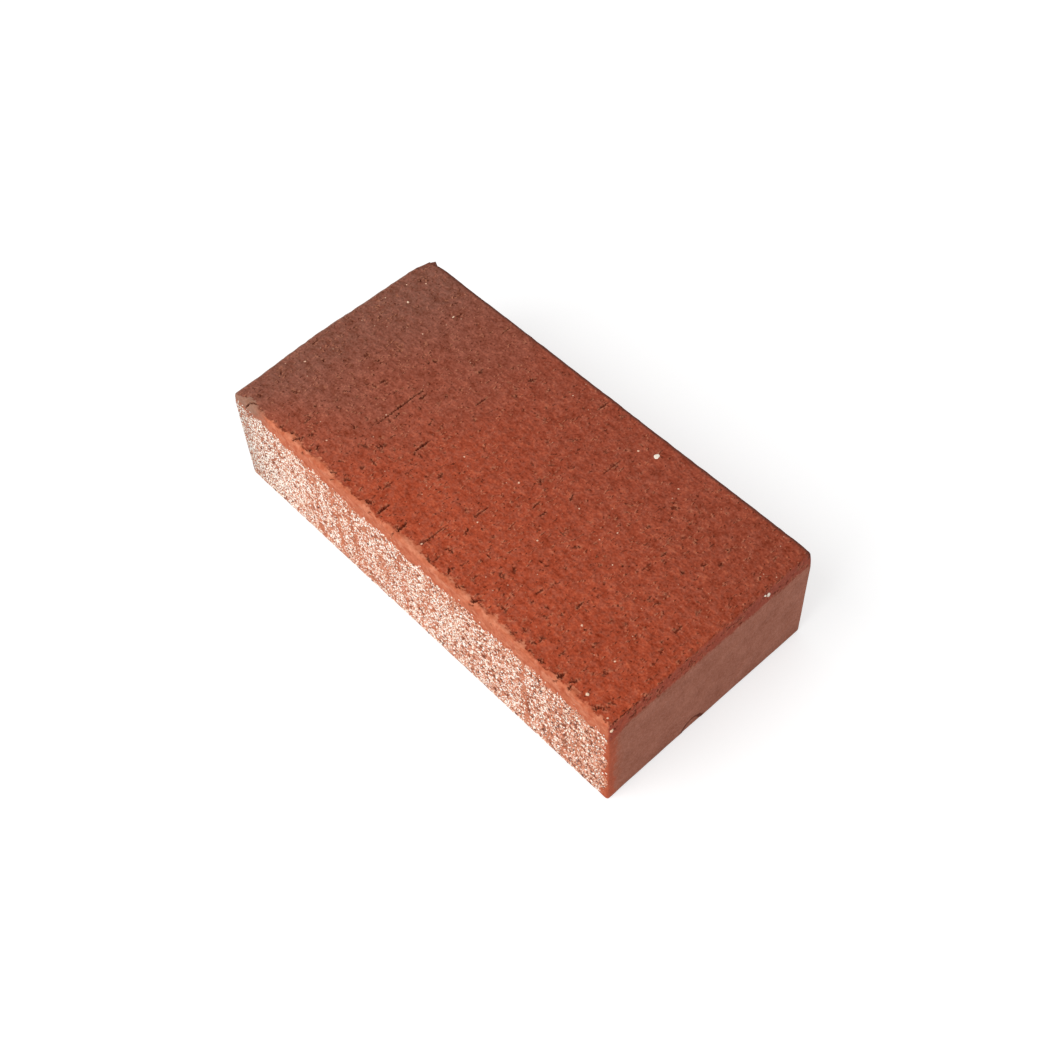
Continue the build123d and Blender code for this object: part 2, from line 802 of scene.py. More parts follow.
@dataclass
class PaverBody:
    """The fired clay: one closed mesh with its band, worn edges, drags and tears.

    Each worn corner of the top has the signs of its end and side, its depth and its reach. The margins
    say how far round a feature the mesh is finer, and the mark_rim is in half widths of a mark.
    """

    length: float
    width: float
    height: float
    corner_radius: float = 1.1 * MM
    band_drop: float = 8.5 * MM
    band_inset: float = 0.5 * MM
    top_arris: float = 1.5 * MM
    bed_arris: float = 1.2 * MM
    sanded_arris: float = 0.45 * MM
    spall_radius: float = 4.8 * MM
    spall_depth: float = 0.6 * MM
    spall_foot: float = 0.05 * MM
    spall_from_front: float = 41.5 * MM
    spall_rim: float = 0.35 * MM
    spall_uneven: float = 0.5 * MM
    spall_bumps: float = 1.6 * MM
    cell: float = 1.55 * MM
    band_margin: float = 1.0 * MM
    spall_margin: float = 1.4 * MM
    rim_margin: float = 1.0 * MM
    mark_margin: float = 0.35 * MM
    mark_rim: float = 1.3
    edge_lines: tuple[float, ...] = (0.4 * MM, 0.9 * MM, 1.5 * MM, 2.3 * MM)
    top_recess: float = 0.16 * MM
    sand_recess: float = 0.42 * MM
    skin_recess: float = 0.06 * MM
    corner_sag: float = 2.4 * MM
    sag_reach: Span = (9 * MM, 45 * MM)
    worn_corners: tuple[tuple[int, int, float, float], ...] = (
        (-1, 1, 1.2 * MM, 9.0 * MM),
        (1, 1, 0.3 * MM, 5.5 * MM),
        (1, -1, 0.2 * MM, 5.5 * MM),
    )
    burr_place: float = 4.2 * MM
    burr_reach: float = 1.6 * MM
    burr_flanks: Span = (2.6 * MM, 0.8 * MM)
    burr_thickness: float = 1.1 * MM
    seed: int = 11
    small_marks: int = 390
    end_marks: int = 75

    def __post_init__(self) -> None:
        """Set out the marks and the empty arrays."""
        self.half = np.array((self.length / 2, self.width / 2))
        self.marks = self.large_marks() + self.scattered_marks()
        self.cage = np.zeros((0, 3))
        self.object: bpy.types.Object | None = None

    @staticmethod
    def large_marks() -> list[Mark]:
        """List the marks that stand out.

        A row is a mark's place, length, width and depth, and its turn where that isn't a right angle.

        Returns:
            The drags and tears of the top, the cracks and drag lines of the front, and the creases
            of the near end's band.
        """
        on_top = (
            (-68, 36.3, 2.6, 1.0, 0.5), (-49.2, 43.8, 4.5, 0.8, 0.4),
            (-48.8, -10.2, 23, 0.75, 0.7, 91), (-46.5, -0.7, 3.5, 0.9, 0.6),
            (-46.5, -13.2, 2.6, 0.9, 0.6, 105), (-62.8, -6.2, 1.6, 1.0, 0.6),
            (-61, -6.2, 1.2, 0.8, 0.5), (-63.5, -10.2, 2.4, 0.8, 0.4, 5),
            (-55.5, -6.4, 1.0, 0.9, 0.5), (-40.6, 22.8, 1.8, 1.2, 0.6, 110),
            (-29.7, 13.3, 5.5, 0.8, 0.6), (-29.1, -16.2, 6.4, 1.3, 0.9),
            (-28.3, -20.2, 1.6, 0.8, 0.5, 125), (-24.1, 34.3, 3.0, 1.4, 0.5, 70),
            (-39.6, -27.2, 1.6, 1.1, 0.7), (-35.6, -33.7, 4.0, 0.7, 0.4, 170),
            (-23.9, -36.7, 4.0, 1.0, 0.5), (-14.1, -20.2, 2.6, 0.9, 0.5, 105),
            (3.5, 43.8, 4.6, 0.9, 0.7), (8, -20.7, 6.5, 0.8, 0.5, 87),
            (12.3, -39.7, 2.2, 1.2, 0.6, 10), (12.8, 3.3, 2.4, 1.4, 0.5, 140),
            (25.9, 26.3, 8, 0.75, 0.45), (25.7, 6.3, 2.8, 1.2, 0.6, 115),
            (34.2, -29.2, 2.4, 0.8, 0.5, 140), (46.6, -29.2, 2.6, 0.9, 0.6),
            (54.1, 29.3, 2.6, 1.2, 0.5, 40), (60.1, -23.2, 3.6, 1.3, 0.6, 95),
            (64.8, 4.3, 4.0, 0.7, 0.4), (69.6, -40.7, 3.0, 0.8, 0.5), (89.7, -6.2, 3.6, 0.9, 0.5),
            (-96.4, -12.2, 3.0, 0.8, 0.5), (-93.4, -31.2, 3.0, 0.8, 0.5, 140),
            (-82.1, -33.2, 1.6, 0.9, 0.5, 20), (-77.4, -2.2, 1.2, 0.8, 0.5),
            (-72.5, -1, 1.6, 0.7, 0.5, 60), (-67.8, -38.7, 3.0, 0.8, 0.5, 95),
            (-56.5, 14.3, 1.6, 1.0, 0.6, 20), (3.9, -39.2, 12, 0.6, 0.5, 91),
            (10.8, -29.8, 1.6, 1.2, 0.6, 120), (19.2, -4.7, 4.0, 0.8, 0.6, 95),
            (23.9, -5.7, 3.0, 0.7, 0.6, 85), (42.2, -7.2, 1.6, 0.9, 0.5, 60),
            (65.2, 11.8, 3.0, 0.7, 0.5), (74.5, -4.4, 1.4, 0.9, 0.5, 100),
            (-89.5, -43.6, 2.4, 0.9, 0.5, 15), (-72.3, -47.2, 1.4, 0.9, 0.5, 60),
            (-63.8, -47.4, 2.6, 1.6, 0.7, 70), (-62.6, -45.4, 1.8, 0.9, 0.5, 120),
            (-61.7, -42.4, 1.4, 0.8, 0.5), (-56.5, -47.0, 1.6, 1.0, 0.6, 80),
            (-44.3, -41.9, 1.4, 0.9, 0.5, 40), (-43.7, -31.1, 2.6, 0.9, 0.5, 20),
            (-42.3, -47.0, 2.6, 0.8, 0.6, 60), (-35.9, -45.6, 1.8, 1.2, 0.5, 30),
            (-22.9, -46.2, 1.6, 1.1, 0.6, 70), (-17.2, -44.6, 5.6, 1.5, 0.8, 90),
            (-6.4, -45.2, 4.6, 1.4, 0.8, 97), (-7.4, -46.6, 2.4, 0.8, 0.5, 20),
            (3.4, -43.7, 3.0, 1.0, 0.5, 80), (10.3, -47.4, 2.4, 0.9, 0.5, 150),
            (19.0, -45.7, 2.0, 0.9, 0.6, 130), (26.3, -47.4, 2.4, 1.2, 0.5, 60),
            (34.2, -47.6, 3.0, 1.6, 0.8, 70), (35.3, -45.6, 2.4, 0.9, 0.5, 20),
            (43.6, -42.4, 1.4, 1.2, 0.4, 0), (60.3, -44.6, 1.8, 1.2, 0.5, 20),
            (66.8, -47.6, 1.8, 1.0, 0.6, 10), (75.4, -46.8, 3.0, 1.5, 0.7, 80),
            (79.9, -45.3, 2.2, 1.2, 0.6, 60), (80.8, -48.2, 2.4, 0.9, 0.7, 100),
            (84.7, -35.5, 1.8, 1.2, 0.4, 100), (92.3, -46.5, 2.4, 1.2, 0.6, 60),
            (94.4, -42.2, 2.0, 0.9, 0.5, 40), (-88.6, -48.2, 2.6, 0.8, 0.7, 42),
        )
        on_front = (
            (-91.1, 47.1, 6.0, 0.9, 0.8, 56), (-58.0, 48.6, 2.0, 0.7, 0.5, 80),
            (-41.0, 48.4, 3.4, 0.6, 0.5, 48), (-20.0, 48.8, 1.6, 0.8, 0.5, 66),
            (-7.5, 48.0, 3.8, 0.7, 0.5, 71), (34.0, 48.5, 2.6, 0.8, 0.5, 38),
            (44.0, 47.4, 1.8, 0.6, 0.4, 95), (75.0, 48.6, 2.8, 0.8, 0.5, 57),
            (-33.2, 22.0, 29, 0.5, 0.35, 91), (60.6, 22.0, 27, 0.5, 0.3, 89),
            (79.2, 23.0, 28, 0.5, 0.4, 90),
        )
        on_near_end = (
            (-46.0, 49.0, 1.8, 0.7, 0.5, 25), (-42.8, 49.4, 1.6, 0.6, 0.4, -15),
            (-39.4, 48.8, 1.2, 0.8, 0.5, 40), (-36.2, 49.1, 2.0, 0.8, 0.5, -10),
            (-32.0, 48.7, 2.4, 0.8, 0.5, 12), (-12.0, 49.2, 3.0, 0.6, 0.4, 2),
            (19.0, 49.1, 3.0, 0.6, 0.4, -5), (33.0, 49.2, 4.0, 0.6, 0.4, 3),
            (42.5, 48.8, 2.5, 0.8, 0.5, 15), (44.5, 46.8, 1.4, 0.8, 0.5, 60),
            (-37.0, 45.0, 1.6, 0.9, 0.5, 70), (-26.8, 43.8, 1.8, 0.9, 0.5, 120),
        )
        tables = {Side.TOP: on_top, Side.FRONT: on_front, Side.NEAR_END: on_near_end}
        return [Mark(*row, side=side) for side, table in tables.items() for row in table]

    def scattered_marks(self) -> list[Mark]:
        """Scatter the small drags and pits of the wire cut, closer together towards the front.

        Returns:
            Small marks on the top, on the bed and on the near end's band.
        """
        draw = np.random.default_rng(self.seed)
        reach = (self.half - self.top_arris) / MM
        marks = []
        for index in range(self.small_marks):
            side = Side.BED if index % 4 == 0 else Side.TOP
            first = draw.uniform(-reach[0], reach[0])
            second = reach[1] * (1 - 2 * draw.uniform() ** 0.75)
            length = draw.choice((0.1, 0.3, 0.8, 1.6), p=(0.4, 0.3, 0.2, 0.1))
            width = draw.uniform(0.4, 0.95)
            turn = draw.normal(92, 14) if draw.uniform() < 0.65 else draw.uniform(0, 180)
            depth = draw.uniform(0.1, 0.6)
            marks.append(Mark(first, second, length, width, depth, turn, side))
        low, high = (self.height - self.band_drop) / MM + 1.5, self.height / MM
        for _ in range(self.end_marks):
            first, second = draw.uniform(-reach[1], reach[1]), draw.uniform(low, high)
            length = draw.choice((0.3, 0.8, 1.8))
            width = draw.uniform(0.35, 0.8)
            turn = draw.normal(0, 25)
            depth = draw.uniform(0.3, 0.6)
            marks.append(Mark(first, second, length, width, depth, turn, Side.NEAR_END))
        return marks

    def lines(self, low: float, high: float) -> np.ndarray:
        """Place grid lines across the paver, closer together by its edges.

        Args:
            low: where the first line lies.
            high: where the last one lies.

        Returns:
            The lines' places.
        """
        start, end = low + self.edge_lines[-1], high - self.edge_lines[-1]
        count = round((end - start) / self.cell)
        close = np.array((0.0, *self.edge_lines[:-1]))
        return np.concatenate((low + close, np.linspace(start, end, count + 1), high - close[::-1]))

    def make_cage(self) -> bmesh.types.BMesh:
        """Lay a grid over a square block of the paver's size.

        Returns:
            The block's closed surface, in four-sided faces.
        """
        places = [
            self.lines(-self.half[0], self.half[0]),
            self.lines(-self.half[1], self.half[1]),
            self.lines(0.0, self.height),
        ]
        counts = [len(p) for p in places]
        cage = bmesh.new()
        vertices: dict[tuple[int, ...], bmesh.types.BMVert] = {}

        def vertex(index: tuple[int, ...]) -> bmesh.types.BMVert:
            """Give the vertex at a crossing of grid lines, made when first asked for.

            Args:
                index: the numbers of the lines along X, Y and Z.

            Returns:
                The vertex.
            """
            if index not in vertices:
                vertices[index] = cage.verts.new([places[axis][index[axis]] for axis in range(3)])
            return vertices[index]

        for side in Side:
            one, two = side.plane
            turned = (side.sign > 0) != (side.axis == 1)
            for i in range(counts[one] - 1):
                for j in range(counts[two] - 1):
                    ring = []
                    for step_one, step_two in ((0, 0), (1, 0), (1, 1), (0, 1)):
                        index = [0, 0, 0]
                        index[side.axis] = counts[side.axis] - 1 if side.sign > 0 else 0
                        index[one], index[two] = i + step_one, j + step_two
                        ring.append(vertex(tuple(index)))
                    cage.faces.new(ring if turned else ring[::-1])
        return cage

    @staticmethod
    def split(cage: bmesh.types.BMesh, wanted: Callable[[np.ndarray], np.ndarray]) -> None:
        """Split faces in four.

        Args:
            cage: the surface.
            wanted: says which faces are split, from the places of their middles.
        """
        faces = list(cage.faces)
        middles = np.array([face.calc_center_median() for face in faces])
        chosen = wanted(middles)
        edges = {edge for face, pick in zip(faces, chosen) if pick for edge in face.edges}
        bmesh.ops.subdivide_edges(
            cage, edges=list(edges), cuts=1, use_grid_fill=True, use_single_edge=True
        )

    def on(self, side: Side, points: np.ndarray) -> np.ndarray:
        """Say which points of the square block lie on a side.

        Args:
            side: the side.
            points: places on the block.

        Returns:
            True for each point on that side.
        """
        limit = self.height if side is Side.TOP else 0.0
        if side.axis < 2:
            limit = side.sign * self.half[side.axis]
        return np.abs(points[:, side.axis] - limit) < TOUCHING

    def wants_detail(self, points: np.ndarray) -> np.ndarray:
        """Choose the top, and the band where it shows most.

        Args:
            points: the middles of the square block's faces.

        Returns:
            True for each face that is wanted.
        """
        seen = self.on(Side.FRONT, points) | self.on(Side.NEAR_END, points)
        banded = seen & (points[:, 2] > self.height - self.band_drop - self.band_margin)
        return self.on(Side.TOP, points) | banded | self.by_spall(points)

    def wants_more_detail(self, points: np.ndarray) -> np.ndarray:
        """Choose the faces by the marks and the spall.

        Args:
            points: the middles of the square block's faces.

        Returns:
            True for each face that is wanted.
        """
        chosen = self.by_spall(points)
        for mark in self.marks:
            if mark.side is not Side.BED:
                near = mark.nearness(points) * mark.width / 2 < mark.width / 2 + self.mark_margin / MM
                chosen |= near & self.on(mark.side, points)
        return chosen

    def wants_most_detail(self, points: np.ndarray) -> np.ndarray:
        """Choose the faces in the marks and by the spall's rim.

        Args:
            points: the middles of the square block's faces.

        Returns:
            True for each face that is wanted.
        """
        rim = np.abs(self.from_spall(points) - self.spall_radius) < self.rim_margin
        chosen = rim & self.on(Side.NEAR_END, points)
        for mark in self.marks:
            if mark.side is not Side.BED:
                chosen |= (mark.nearness(points) < self.mark_rim) & self.on(mark.side, points)
        return chosen

    def from_spall(self, points: np.ndarray) -> np.ndarray:
        """Measure how far points lie from the middle of the spall in the near end's lower edge."""
        return np.hypot(points[:, 1] - (self.spall_from_front - self.half[1]), points[:, 2])

    def from_ragged_spall(self, points: np.ndarray) -> np.ndarray:
        """Measure the same distance, uneven as the spall's rim is."""
        return self.from_spall(points) + self.spall_uneven * wobble(points, self.spall_bumps, 26)

    def spall_cut(self, points: np.ndarray) -> np.ndarray:
        """Measure how deep the half-round spall is.

        Args:
            points: places on the square block.

        Returns:
            The depth at each point, 0 away from the spall.
        """
        up = np.clip(points[:, 2] / self.spall_radius, 0, 1)
        floor = self.spall_foot + (self.spall_depth - self.spall_foot) * up
        far = self.from_ragged_spall(points)
        depth = floor * rise(far, self.spall_radius, self.spall_radius - self.spall_rim)
        return np.maximum(depth - (self.half[0] - points[:, 0]), 0)

    def by_spall(self, points: np.ndarray) -> np.ndarray:
        """Choose the part of the near end round the spall."""
        near = self.from_spall(points) < self.spall_radius + self.spall_margin
        return near & self.on(Side.NEAR_END, points)

    def shape(self, points: np.ndarray) -> np.ndarray:
        """Turn the square block into the paver's plain form.

        Args:
            points: places on the block.

        Returns:
            The same places with round corners, the leaning band and worn edges.
        """
        core_half = self.half - self.corner_radius
        core = np.clip(points[:, :2], -core_half, core_half)
        out = points[:, :2] - core
        reach = np.abs(out).max(axis=1)
        away = out / np.maximum(np.linalg.norm(out, axis=1, keepdims=True), 1e-9)
        inset, depth = self.corner_radius - reach, self.height - points[:, 2]
        inset, depth = round_over(inset, depth, self.top_arris)
        from_front = rise(points[:, 1] + self.half[1], 2 * MM, 8 * MM)
        bed_arris = self.sanded_arris + (self.bed_arris - self.sanded_arris) * from_front
        inset, up = round_over(inset, self.height - depth, bed_arris)
        flat = core + away * (self.corner_radius - inset)[:, None]
        lean = np.clip((up - self.height + self.band_drop) / self.band_drop, 0, 1) * self.band_inset
        return np.column_stack((flat * (1 - lean[:, None] / self.half), up))

    def borders(self, points: np.ndarray) -> dict[str, np.ndarray]:
        """Measure each point's distance past the borders of the finishes.

        Args:
            points: places on the square block.

        Returns:
            The distance below the top edge, below the wavy upper border of the front's rolled band, and
            inside the sanded patch; each is negative on the other side of its border.
        """
        inward = (self.half - np.abs(points[:, :2])).min(axis=1)
        below = self.height - points[:, 2]
        top, bed = self.on(Side.TOP, points), self.on(Side.BED, points)
        edge = np.where(top, -inward, np.where(bed, self.height + inward, below))
        front = self.on(Side.FRONT, points)
        from_front = np.where(top, -(points[:, 1] + self.half[1]), np.where(front, below, -1.0))
        along = np.column_stack((points[:, 0], np.zeros((len(points), 2))))
        up = np.column_stack((np.zeros((len(points), 2)), points[:, 2]))
        border = 1.4 + 1.7 * wobble(along, 13 * MM, 1) + 1.7 * wobble(along, 3.4 * MM, 2)
        border += 1.4 * wobble(points, 1.3 * MM, 8, 2)
        roll = from_front + np.maximum(border, 0.2) * MM
        start = 7.0 + 1.2 * rise(points[:, 0], -60 * MM, 30 * MM)
        start += 2.6 * wobble(along, 6 * MM, 3) + 1.0 * wobble(along, 1.6 * MM, 4)
        stop = 2.3 + 3.6 * wobble(up, 6 * MM, 5) + 2.8 * wobble(up, 1.5 * MM, 6)
        sand = np.minimum(from_front - start * MM, self.half[0] - stop * MM - points[:, 0])
        return {"edge": edge, "roll": roll, "sand": sand}

    def wear(self, points: np.ndarray) -> np.ndarray:
        """Measure the wear of the top's corners, and the burr that the wire left by one of them.

        Args:
            points: places on the square block.

        Returns:
            The depth of the wear; it is negative on the burr.
        """
        depth = np.zeros(len(points))
        for end, side, loss, reach in self.worn_corners:
            corner = np.array((end * self.half[0], side * self.half[1], self.height))
            depth += loss * rise(np.linalg.norm(points - corner, axis=1), reach, 0)
        edge = np.hypot(points[:, 1] - self.half[1], points[:, 2] - self.height)
        along = points[:, 0] + self.half[0] - self.burr_place
        before, after = self.burr_flanks
        flank = np.where(along < 0, -along / before, along / after)
        burr = np.clip(1 - flank, 0, 1) * rise(edge, self.burr_thickness, 0)
        return depth - self.burr_reach * burr

    def sag(self, points: np.ndarray) -> np.ndarray:
        """Measure how far the far front corner of the top has sunk.

        Args:
            points: places on the square block.

        Returns:
            How far down each point moves.
        """
        far = np.linalg.norm((points[:, :2] + self.half) / self.sag_reach, axis=1)
        in_band = rise(points[:, 2], self.height - self.band_drop, self.height)
        return self.corner_sag * rise(far, 1, 0) * in_band

    def relief(self, points: np.ndarray, roll: np.ndarray) -> np.ndarray:
        """Work out how far the surface lies inside the plain form, apart from its marks.

        Args:
            points: places on the square block.
            roll: each point's distance below the upper border of the front's band.

        Returns:
            The depth of each point.
        """
        waves = wobble(points, 18 * MM, 21)
        fine = wobble(points * (0.5, 1.0, 1.0), 1.8 * MM, 22, 2)
        rough = wobble(points, 4.5 * MM, 23, 2)
        lip = rise(roll, -0.2 * MM, 0.5 * MM)
        cut = self.top_recess + (0.16 * waves + 0.16 * fine + 0.16 * rough) * MM
        facets = 0.30 * rough + 0.25 * wobble(points, 2.2 * MM, 28) - 0.12
        cut += lip * facets * MM + 0.25 * MM * rise(roll, -2.5 * MM, -0.2 * MM) * (1 - lip)
        skin = self.skin_recess + (0.10 * waves + 0.03 * rough) * MM
        sand = self.sand_recess + (0.25 * waves + 0.25 * rough) * MM
        depth = np.maximum(cut, 0.02 * MM)
        side = points[:, 2] < self.height - TOUCHING
        front = self.on(Side.FRONT, points)
        share = rise(self.height - points[:, 2], 0, 2 * MM)
        depth = np.where(side & ~front, depth * (1 - share) + skin * share, depth)
        share = rise(self.height - points[:, 2], 1 * MM, 8 * MM)
        depth = np.where(side & front, depth * (1 - share) + sand * share, depth)
        depth = np.maximum(depth, 0.01 * MM)
        depth = np.where(self.on(Side.BED, points), 0.02 * MM + 0.25 * MM * np.abs(fine), depth)
        return depth + self.wear(points)

    def cut_marks(
        self, points: np.ndarray, depth: np.ndarray
    ) -> tuple[np.ndarray, np.ndarray, np.ndarray]:
        """Deepen the surface where it is marked.

        Args:
            points: places on the square block.
            depth: the depth of each point before it is marked.

        Returns:
            The new depth, how far each point lies in a mark or in the painted shadow under the spall's
            rim, and how far on a mark's crumbled rim, both from 0 to 1.
        """
        in_mark, on_rim = np.zeros(len(points)), np.zeros(len(points))
        ragged = 1.9 * wobble(points, 0.6 * MM, 24, 2) + 1.1 * wobble(points, 1.7 * MM, 25)
        crumbled = np.clip(0.4 + 3 * wobble(points, 0.8 * MM, 27), 0, 1)
        for mark in self.marks:
            near = mark.nearness(points) + ragged * min(max(2 / mark.length, 0.35), 1)
            placed = self.on(mark.side, points)
            share = rise(near, 1.1, 0.5) * placed
            depth = depth + share * mark.depth * MM
            # How far a point lies in a mark, more for deeper marks; this sets the painted shade in the
            # grooves.
            in_mark = np.maximum(in_mark, share * min(0.2 + 1.2 * mark.depth, 1))
            on_rim = np.maximum(on_rim, rise(near, 2.3, 1.3) * placed * crumbled)
        # Painted shadow under the spall's upper rim, where its overhang shades the recess; it joins the
        # marks' darkening.
        far = self.from_ragged_spall(points) - self.spall_radius
        line = rise(far, -1.2 * MM, -0.2 * MM) * rise(far, 1.2 * MM, 0.7 * MM)
        line = line * rise(points[:, 2], -0.5 * MM, 2 * MM)
        in_mark = np.maximum(in_mark, line * self.on(Side.NEAR_END, points))
        return depth, in_mark, on_rim

    def inside(self, points: np.ndarray, foot: float = MARGIN) -> np.ndarray:
        """Keep points inside the solid's box.

        Args:
            points: places in metres, three numbers each.
            foot: how far above the floor they stay.

        Returns:
            The places, with those from outside moved onto the box.
        """
        lowest = (*(MARGIN - self.half), foot)
        highest = (*(self.half - MARGIN), self.height - MARGIN)
        return np.clip(points, lowest, highest)

    def trim(self, mesh: bpy.types.Mesh, foot: float = MARGIN) -> None:
        """Keep a piece inside the solid's box.

        Args:
            mesh: the piece's mesh.
            foot: how far above the floor it stays.
        """
        mesh.vertices.foreach_set("co", self.inside(places_of(mesh), foot).ravel())
        mesh.update()

    def unfold(self, mesh: bpy.types.Mesh) -> None:
        """Lay the six sides out flat, apart from each other, as the bake's map.

        Args:
            mesh: the paver's mesh, with the cage's points in order.
        """
        long, wide, high, gap = self.length, self.width, self.height, 3 * MM
        corners = {
            Side.TOP: (gap, gap),
            Side.BED: (gap, wide + 2 * gap),
            Side.FRONT: (gap, 2 * wide + 3 * gap),
            Side.BACK: (gap, 2 * wide + high + 4 * gap),
            Side.NEAR_END: (long + 2 * gap, gap),
            Side.FAR_END: (long + 2 * gap, high + 2 * gap),
        }
        span = 2 * wide + 2 * high + 5 * gap
        lowest = np.array((-self.half[0], -self.half[1], 0.0))
        places = np.zeros((len(mesh.loops), 2))
        owners = owners_of(mesh)
        for polygon in mesh.polygons:
            loops = slice(polygon.loop_start, polygon.loop_start + polygon.loop_total)
            ring = self.cage[owners[loops]]
            middle = ring.mean(axis=0, keepdims=True)
            side = next(s for s in Side if self.on(s, middle)[0])
            places[loops] = (ring - lowest)[:, side.plane] + corners[side]
        write_map(mesh, places / span)

    def build(self) -> bpy.types.Object:
        """Build the clay's mesh.

        Returns:
            The object, with the numbers that its finish reads.
        """
        cage = self.make_cage()
        for wanted in (self.wants_detail, self.wants_more_detail, self.wants_most_detail):
            self.split(cage, wanted)
        self.cage = np.array([vertex.co for vertex in cage.verts])
        mesh = bpy.data.meshes.new("clay_body")
        cage.to_mesh(mesh)
        cage.free()

        plain = self.shape(self.cage)
        mesh.vertices.foreach_set("co", plain.ravel())
        mesh.update()
        normals = np.zeros(len(plain) * 3)
        mesh.vertex_normals.foreach_get("vector", normals)
        borders = self.borders(self.cage)
        relief = self.relief(self.cage, borders["roll"])
        depth, in_mark, on_rim = self.cut_marks(self.cage, relief)
        final = plain - normals.reshape(-1, 3) * depth[:, None]
        final[:, 0] -= self.spall_cut(self.cage)
        final[:, 2] -= self.sag(self.cage)
        mesh.vertices.foreach_set("co", self.inside(final).ravel())
        # The pit numbers set the painted shade in the marks and under the spall's rim.
        for name, numbers in {**borders, "pit": in_mark, "rim": on_rim}.items():
            write_numbers(mesh, name, numbers)
        self.unfold(mesh)
        mesh.shade_smooth()
        mesh.update()
        self.object = add_object("clay_body", mesh)
        return self.object

    def dress(self, finish: ClayFinish) -> None:
        """Give the clay its finish and its place in the model.

        Args:
            finish: the clay's finish.
        """
        self.object.data.materials.append(finish.make())
        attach(self.object, BODY)
        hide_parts(NODE)


# The sand

class Draw(Enum):
    """What a random node gives: the kind of its numbers, and the ending of its sockets' names."""

    VECTOR = ("FLOAT_VECTOR", "")
    NUMBER = ("FLOAT", "_001")
    WHOLE = ("INT", "_002")

    def add(self, g: Graph, low: object, high: object, seed: int) -> Socket:
        """Add a random node.

        Args:
            g: the node tree.
            low: the least that it gives, or a link to it.
            high: the most that it gives.
            seed: the seed of its draws.

        Returns:
            The random number or vector.
        """
        kind, ending = self.value
        sockets = {"Min" + ending: low, "Max" + ending: high, "Seed": seed}
        node = g.add("FunctionNodeRandomValue", {"data_type": kind}, sockets)
        return g.socket(node.outputs, "Value" + ending)


